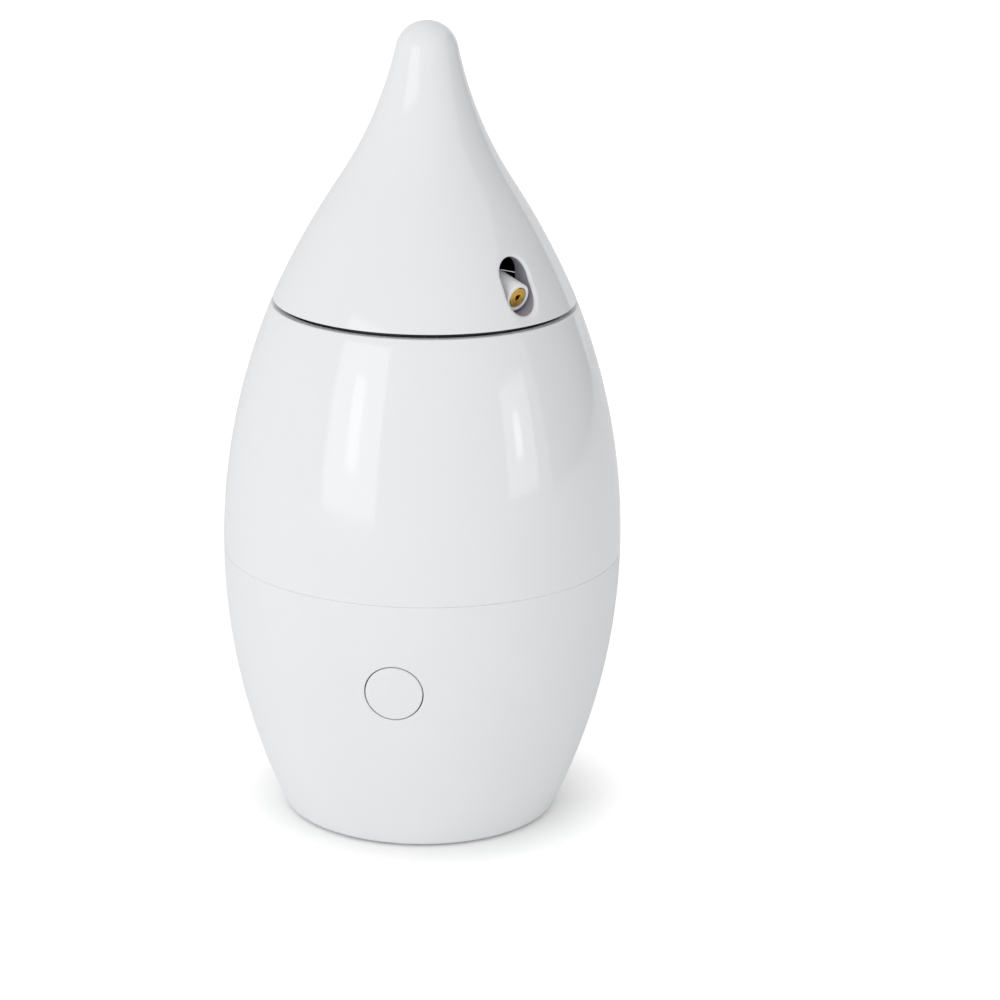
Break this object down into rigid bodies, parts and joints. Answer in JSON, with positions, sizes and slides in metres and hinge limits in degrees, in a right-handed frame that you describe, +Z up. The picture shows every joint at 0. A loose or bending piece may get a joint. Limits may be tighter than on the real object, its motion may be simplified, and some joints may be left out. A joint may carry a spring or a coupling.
{
  "type": "automatic cat laser toy",
  "caption": "Egg-shaped battery toy whose teardrop head turns and sweeps two tilting laser tubes through upright slots; round push button on the base.",
  "frame": {"origin": "centre of the base, on the surface that the rubber feet stand on", "axes": "+Z up along the axis that the head turns about, -Y out of the push button, +X to the right of a person who faces the button"},
  "size_m": [0.105, 0.105, 0.2109],
  "materials": {
    "gloss_white": "moulded, polished",
    "satin_white": "moulded, satin",
    "black_plastic": "moulded",
    "red_plastic": "moulded",
    "acetal": "moulded, natural",
    "rubber": "moulded",
    "steel": "plated",
    "cell_can": "printed sleeve over a can, left plain",
    "brass": "turned",
    "copper": "rolled",
    "circuit_board": "glass-epoxy board",
    "wire_red": "extruded insulation",
    "lens": "polished"
  },
  "bodies": {
    "housing": {"lower_shell": "satin_white", "upper_shell": "gloss_white", "rubber_feet": "rubber", "shell_screws": "steel", "battery_case": "black_plastic", "case_screws": "steel", "battery_cells": "cell_can", "case_contacts": "steel", "case_springs": "steel", "main_board": "circuit_board", "board_parts": "black_plastic", "board_screws": "steel", "switch_body": "black_plastic", "gearbox_plate": "black_plastic", "gearbox_screws": "steel", "gear_axles": "steel", "deck_bush": "acetal", "plate_bush": "acetal", "thrust_washer": "steel", "motor": "steel", "motor_screws": "steel", "brush_holder": "black_plastic", "brush_screws": "steel", "brushes": "copper", "battery_leads": "wire_red", "motor_leads": "wire_red", "brush_leads": "wire_red"},
    "door": {"battery_door": "satin_white", "door_screws": "steel", "door_contacts": "steel", "door_springs": "steel"},
    "button": {"power_button": "satin_white"},
    "plunger": {"switch_plunger": "red_plastic"},
    "motor_rotor": {"motor_shaft": "steel", "motor_pinion": "brass"},
    "first_gear": {"first_gear": "acetal"},
    "second_gear": {"second_gear": "acetal"},
    "head": {"head_shell": "gloss_white", "head_base": "black_plastic", "spindle": "acetal", "spindle_screws": "steel", "spindle_clip": "steel", "slip_rings": "copper", "output_gear": "acetal", "gear_pin": "steel", "head_screws": "steel", "laser_frame": "black_plastic", "frame_screws": "steel", "head_board": "circuit_board", "head_leads": "wire_red"},
    "front_laser": {"front_tube": "gloss_white", "front_module": "brass", "front_lens": "lens", "front_driver": "circuit_board"},
    "rear_laser": {"rear_tube": "gloss_white", "rear_module": "brass", "rear_lens": "lens", "rear_driver": "circuit_board"}
  },
  "joints": [
    {"name": "head_spin", "type": "hinge", "parent": "housing", "child": "head", "pos_m": [0, 0, 0.1378], "axis": [0, 0, 1], "continuous": true},
    {"name": "front_laser_tilt", "type": "hinge", "parent": "head", "child": "front_laser", "pos_m": [0.01082, -0.00889, 0.1507], "axis": [-0.6347, -0.7727, 0], "range_deg": [0, 15]},
    {"name": "rear_laser_tilt", "type": "hinge", "parent": "head", "child": "rear_laser", "pos_m": [-0.01082, 0.00889, 0.1507], "axis": [0.6347, 0.7727, 0], "range_deg": [0, 15]},
    {"name": "button_press", "type": "slide", "parent": "housing", "child": "button", "axis": [0, 1, 0], "range_m": [0, 0.0005], "stiffness_N_per_m": 3000},
    {"name": "switch_press", "type": "slide", "parent": "housing", "child": "plunger", "axis": [0, 1, 0], "range_m": [0, 0.0005]},
    {"name": "battery_door_off", "type": "slide", "parent": "housing", "child": "door", "axis": [0, 0, -1], "range_m": [0, 0.02]},
    {"name": "second_gear_spin", "type": "hinge", "parent": "housing", "child": "second_gear", "pos_m": [0, 0.024, 0.12], "axis": [0, 0, 1], "continuous": true},
    {"name": "first_gear_spin", "type": "hinge", "parent": "housing", "child": "first_gear", "pos_m": [0.01297, 0.02872, 0.12], "axis": [0, 0, 1], "continuous": true},
    {"name": "motor_spin", "type": "hinge", "parent": "housing", "child": "motor_rotor", "pos_m": [0.00986, 0.01527, 0.11], "axis": [0, 0, 1], "continuous": true}
  ],
  "couplings": [
    {"joint": "second_gear_spin", "follows": "head_spin", "ratio": -5},
    {"joint": "first_gear_spin", "follows": "head_spin", "ratio": 18},
    {"joint": "motor_spin", "follows": "head_spin", "ratio": -64.8},
    {"joint": "switch_press", "follows": "button_press", "ratio": 1}
  ]
}
